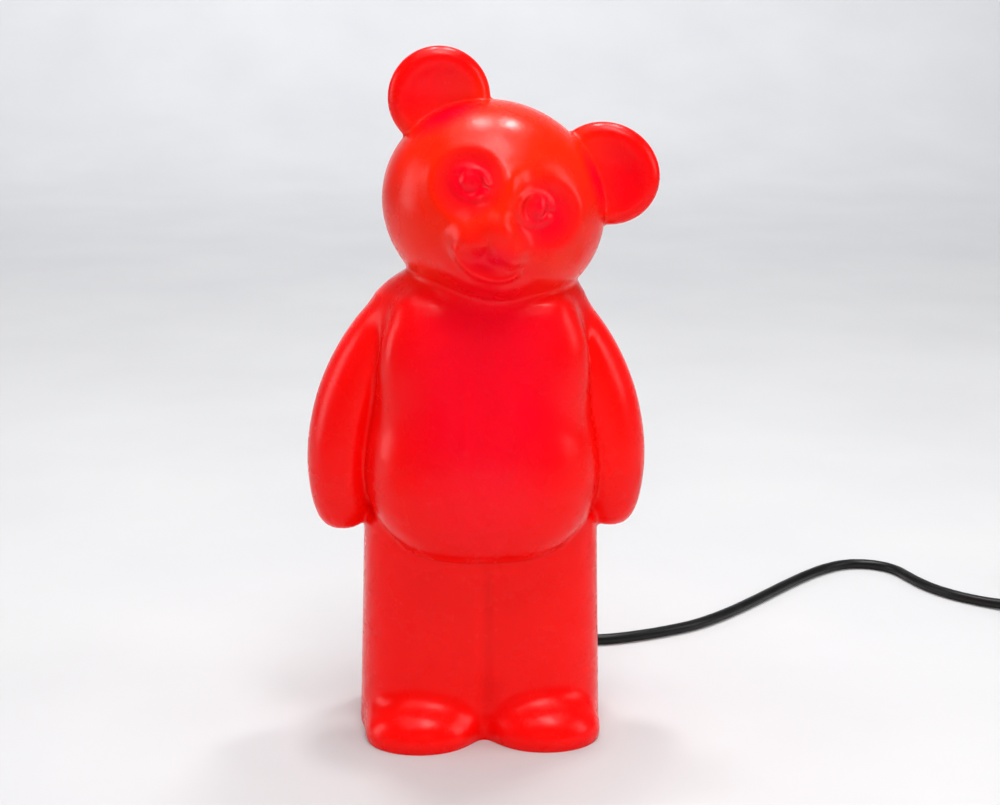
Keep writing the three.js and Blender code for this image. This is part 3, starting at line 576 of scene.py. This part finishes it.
def head_form(x, y, z):
    """The head in its own axes, before it leans."""
    place = (x, y, z)
    head = lump(place, (0, 0, 0), HEAD_RADII)
    front = np.clip((-20 - y) / 8, 0, 1)
    for centre, ear_turn in zip(EARS, (-0.12, 0.42)):
        u, v, w = x - centre[0], y - centre[1], z - centre[2]
        cos, sin = math.cos(ear_turn), math.sin(ear_turn)
        turned = (u * cos - v * sin * 0.3, v + u * sin * 0.5, w)
        ear = lump(turned, (0, 0, 0), (24, 10, 24))
        dish = lump(turned, (0, -10.5, 0), (19.8, 8, 19.8))
        head = join(head, carve(ear, dish, 3.5), 2)
    # eye hollows and their rims
    head = carve(head, lump(place, (-26.7, -66.8, 12.6), (28, 28, 28)), 7)
    head = carve(head, lump(place, (26.7, -66.4, 14.8), (28, 28, 28)), 9)
    head = head - front * ridge(off_arc(x, z, (-19, 8.5), (16.5, 16.5), 10, 330), 2.8, 0.6)
    head = head - front * ridge(off_arc(x, z, (19, 9), (17, 16), -60, 95), 3.0, 0.5)
    # muzzle, bridge, chin, mouth, the two lobes of the lip and the nose
    head = join(head, lump(place, (-0.8, -36, -14), (16, 19, 13)), 8)
    head = join(head, lump(place, (-3, -43.5, 7), (6, 8, 14)), 8)
    head = join(head, lump(place, (2.5, -32, -27), (19, 15, 10)), 8)
    head = carve(head, lump(place, (1.6, -55.5, -19), (16, 9, 6.8)), 2.2)
    for centre in ((-7.8, -43, -13.8), (7.4, -43, -12.4)):
        head = join(head, lump(place, centre, (9.2, 11, 7.8)), 6)
    head = join(head, lump(place, (-0.2, -50, -4.4), (7.2, 6, 5.4)), 7)
    head = head - front * ridge(off_arc(x, z, (1.6, -17), (16.6, 10.4), 200, 340), 1.7, 1.5)
    head = head + front * ridge(off_line(x, z, (-0.9, -11.5), (-0.5, -17)), 1.3, 0.8)
    # eyes with their lids
    for ex, ey, ez in EYES:
        head = join(head, lump(place, (ex, ey, ez), (4.8, 3.4, 4.8)), 1.6)
        across = np.hypot(x - ex, z - ez)
        near = front * (across < 13)
        head = head - near * ridge(across - 2.6, 0.8, 0.2)
        head = head + near * ridge(across, 1.3, 0.4)
        head = head - near * ridge(off_arc(x, z, (ex, ez - 0.3), (7.6, 6.6), 15, 165), 1.7, 1.3)
        head = head - near * ridge(off_arc(x, z, (ex, ez), (7.8, 6.6), 200, 340), 1.9, 1.3)
    return head


def bear_form():
    """The whole bear as one field, negative inside."""
    axes = [np.arange(low, high, VOXEL, dtype=np.float32) for low, high in zip(LOW_CORNER, HIGH_CORNER)]
    x, y, z = np.meshgrid(*axes, indexing="ij", sparse=False)
    form = leg_form(x, y, z)
    form = join(form, torso_form(x, y, z), 1.6)
    form = join(form, lump((x, y, z), (3, 5, 219), (37, 32, 20)), 4)
    for side in (-1, 1):
        form = join(form, arm_form(x, y, z, side), 2.4 + 18 * np.clip((z - 194) / 22, 0, 1))
    u, v, w = x - HEAD_CENTRE[0], y - HEAD_CENTRE[1], z - HEAD_CENTRE[2]
    cos, sin = math.cos(HEAD_ROLL), math.sin(HEAD_ROLL)
    head = head_form(u * cos - w * sin, v, u * sin + w * cos)
    return join(form, head, 2.5)


def surface(form, level, spacing, name):
    """Mesh of the form where its field has that level."""
    volume = openvdb.FloatGrid(30.0)
    volume.copyFromArray(np.ascontiguousarray(np.clip(form, -30, 30), dtype=np.float32))
    points, triangles, quads = volume.convertToPolygons(isovalue=level, adaptivity=0.0)
    places = (LOW_CORNER + points * spacing) * MM
    faces = [*map(tuple, triangles[:, ::-1]), *map(tuple, quads[:, ::-1])]
    mesh = mesh_from(name, places, faces)
    clean(mesh)
    return mesh


def hidden_tool(name, mesh):
    tool = bpy.data.objects.new(name, mesh)
    scene.collection.objects.link(tool)
    return tool


def box_mesh(name, low, high):
    pairs = list(zip(low, high))
    corners = [(x, y, z) for x in pairs[0] for y in pairs[1] for z in pairs[2]]
    faces = [(0, 1, 3, 2), (4, 6, 7, 5), (0, 4, 5, 1), (2, 3, 7, 6), (0, 2, 6, 4), (1, 5, 7, 3)]
    return mesh_from(name, [tuple(c * MM for c in corner) for corner in corners], faces)


def column_mesh(name, inset, low, high, count=120):
    """Column with the legs' rounded-rectangle plan."""
    points = []
    for height in (low, high):
        scale = 1 - LEG_TAPER * max(height, 0) / LEG_TOP
        for i in range(count):
            turn = 2 * math.pi * i / count
            c, s = math.cos(turn), math.sin(turn)
            across = math.copysign(abs(c) ** (2 / LEG_SQUARENESS), c)
            back = math.copysign(abs(s) ** (2 / LEG_SQUARENESS), s)
            points.append((
                across * (LEG_HALF_WIDTH * scale - inset) * MM,
                (LEG_MIDDLE + back * (LEG_HALF_DEPTH * scale - inset)) * MM,
                height * MM,
            ))
    faces = [(i, (i + 1) % count, count + (i + 1) % count, count + i) for i in range(count)]
    faces += [tuple(range(count))[::-1], tuple(range(count, 2 * count))]
    return mesh_from(name, points, faces)


def cut_with(obj, tools):
    for tool in tools:
        modifier = obj.modifiers.new("cut", "BOOLEAN")
        modifier.operation = "DIFFERENCE"
        modifier.solver = "MANIFOLD"
        modifier.object = tool
    apply_modifiers(obj)
    for tool in tools:
        bpy.data.objects.remove(tool)


FAR = 100                             # half-width of the cutting boxes, wider than the shell
CUT_BOTTOM = -60                      # how far they go below the table
HOLLOW_FLOOR = 15                     # top of the shell's inner floor, where the hollow starts
RECESS_WALL = 3
RECESS_TOP = 13                       # underside of the inner floor
FLOOR_HOLE_RADIUS = 31
NOTCH_LOW, NOTCH_HIGH = (-6.5, 33.5, -1), (6.5, 68.5, 12.6)     # way out for the lead


def build_shell():
    """The bear, hollowed to its wall, with the recess, the floor's hole and the lead's notch."""
    form = bear_form()
    coarse = form[::2, ::2, ::2]
    outside = hidden_tool("bear", surface(form, 0.0, VOXEL, "bear"))
    hollow = hidden_tool("hollow", surface(coarse, -WALL, VOXEL * 2, "hollow"))
    low, high = RECESS_TOP - 1, HOLLOW_FLOOR + 1
    hole = [(0, low), (FLOOR_HOLE_RADIUS, low), (FLOOR_HOLE_RADIUS, high), (0, high)]
    below = box_mesh("below", (-FAR, -FAR, CUT_BOTTOM), (FAR, FAR, HOLLOW_FLOOR))
    cut_with(hollow, [hidden_tool("below", below)])
    cut_with(outside, [
        hidden_tool("ground", box_mesh("ground", (-FAR, -FAR, CUT_BOTTOM), (FAR, FAR, 0))),
        hollow,
        hidden_tool("recess", column_mesh("recess", RECESS_WALL, -1, RECESS_TOP)),
        hidden_tool("hole", lathe("hole", hole, 96, (0, LAMP_Y))),
        hidden_tool("notch", box_mesh("notch", NOTCH_LOW, NOTCH_HIGH)),
    ])
    smooth(outside.data, math.radians(60))
    outside.data.materials.clear()
    outside.data.materials.append(MATERIALS["red_vinyl"])
    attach(outside, "shell")
    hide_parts("bear_shell")
    outside.name = "bear"
    return outside


bear = build_shell()

# ---- Switch, plug and the other fittings ------------------------------------------------------------

FINE_NODES = {
    "switch_base": 0.9, "switch_cover": 1.1, "switch_rocker": 0.6, "plug_body": 1.6, "coil_tie": 0.3,
    "plug_pin_1": 0.3, "plug_pin_2": 0.3, "base_plate": 0.4, "holder_cap": 0.5, "holder_sleeve": 0.5,
    "cord_clamp": 0.5, "strain_relief": 0.3,
}
fine = {node: refine(node, bevel) for node, bevel in FINE_NODES.items()}

for node, obj in frame["nodes"].items():
    if not obj.hide_render:
        obj.data.materials.clear()
        obj.data.materials.append(MATERIALS[SLOT_OF_NODE[node]])
        smooth(obj.data)

# ---- Switch and plug pieces, in lists ---------------------------------------------------------------

SWITCH_PIECES = [fine["switch_base"], fine["switch_cover"], fine["switch_rocker"]]
SWITCH_PIECES += [frame["nodes"][n] for n in (
    "switch_screw_1", "switch_screw_2", "switch_contact_in", "switch_contact_out")]
PLUG_PIECES = [fine["plug_body"], fine["plug_pin_1"], fine["plug_pin_2"], fine["coil_tie"]]
PLUG_PIECES += [frame["nodes"][n] for n in ("plug_pin_sleeve_1", "plug_pin_sleeve_2")]

# ---- Table, backdrop and light, in metres -----------------------------------------------------------


def pale_paper():
    shader = Shader("pale paper", roughness=0.7)
    cloudy = shader.between(shader.noise(6, 5), 0.0, 1.0)
    tint = shader.mix(cloudy, (0.51, 0.51, 0.515), (0.54, 0.54, 0.54))
    return shader.finish(tint, None, shader.bump(shader.noise(500, 3), 0.05 * MM, 0.2))


FLOOR_FRONT = -4.0
FLOOR_BACK = 2.0                      # where the floor starts to curve up
CURVE_RADIUS = 1.0
WALL_TOP = 5.0
BACKDROP_HALF_WIDTH = 6.0


def build_backdrop():
    """Floor that curves up into a wall behind the lamp."""
    section = [(FLOOR_FRONT, 0.0), (FLOOR_BACK, 0.0)]
    for degrees in range(6, 91, 6):
        angle = math.radians(degrees)
        along = FLOOR_BACK + CURVE_RADIUS * math.sin(angle)
        section.append((along, CURVE_RADIUS * (1 - math.cos(angle))))
    section.append((FLOOR_BACK + CURVE_RADIUS, WALL_TOP))
    sides = (-BACKDROP_HALF_WIDTH, BACKDROP_HALF_WIDTH)
    vertices = [(x, y, z) for x in sides for y, z in section]
    count = len(section)
    faces = [(i, i + 1, count + i + 1, count + i) for i in range(count - 1)]
    mesh = mesh_from("backdrop", vertices, faces)
    mesh.shade_smooth()
    backdrop = bpy.data.objects.new("backdrop", mesh)
    scene.collection.objects.link(backdrop)
    mesh.materials.append(pale_paper())


LAMP_MIDDLE = (0, 0, 0.2)

LIGHTS = [                             # name, place, target, size, watts, colour, seen in gloss
    ("ceiling left", (-0.06, 0.33, 1.45), LAMP_MIDDLE, (0.15, 0.18), 6, (1, 1, 1), True),
    ("ceiling right", (0.33, 0.37, 1.45), LAMP_MIDDLE, (0.15, 0.18), 6, (1, 1, 1), True),
    ("ceiling strip", (0.16, -0.35, 1.45), LAMP_MIDDLE, (0.3, 0.6), 7, (1, 1, 1), True),
    ("side left", (-1.4, 0.15, 0.5), LAMP_MIDDLE, (0.5, 0.9), 5, (1, 1, 1), True),
    ("side right", (1.4, -0.35, 0.75), LAMP_MIDDLE, (0.5, 0.9), 5.5, (1, 1, 1), True),
    ("overhead", (0, -0.2, 2.5), (0, 0, 0), (2.4, 2.4), 29, (1, 1, 1), True),
    ("backdrop wash", (0, 1.5, 2.8), (0, 3.0, 1.0), (3.0, 0.6), 43, (0.95, 0.96, 1.0), False),
    ("wall light", (0, 2.3, 1.4), (0, 3.0, 0.2), (3.0, 0.3), 20, (0.95, 0.96, 1.0), False),
    ("front fill", (0, -1.7, 0.7), LAMP_MIDDLE, (1.4, 0.9), 17, (1, 1, 1), False),
]


def soft_light(name, place, target, size, watts, colour, glossy):
    data = bpy.data.lights.new(name, "AREA")
    data.shape = "RECTANGLE"
    data.size, data.size_y = size
    data.energy = watts
    data.color = colour
    light = bpy.data.objects.new(name, data)
    scene.collection.objects.link(light)
    light.location = place
    light.rotation_euler = (Vector(place) - Vector(target)).to_track_quat("Z", "Y").to_euler()
    light.visible_glossy = glossy


ROOM_COLOUR = (0.9, 0.92, 1.0, 1)
ROOM_STRENGTH = 0.16


def light_scene():
    world = bpy.data.worlds.new("room")
    world.use_nodes = True
    background = world.node_tree.nodes["Background"]
    background.inputs["Color"].default_value = ROOM_COLOUR
    background.inputs["Strength"].default_value = ROOM_STRENGTH
    scene.world = world
    for light in LIGHTS:
        soft_light(*light)


build_backdrop()
light_scene()
scene.view_settings.view_transform = "Standard"
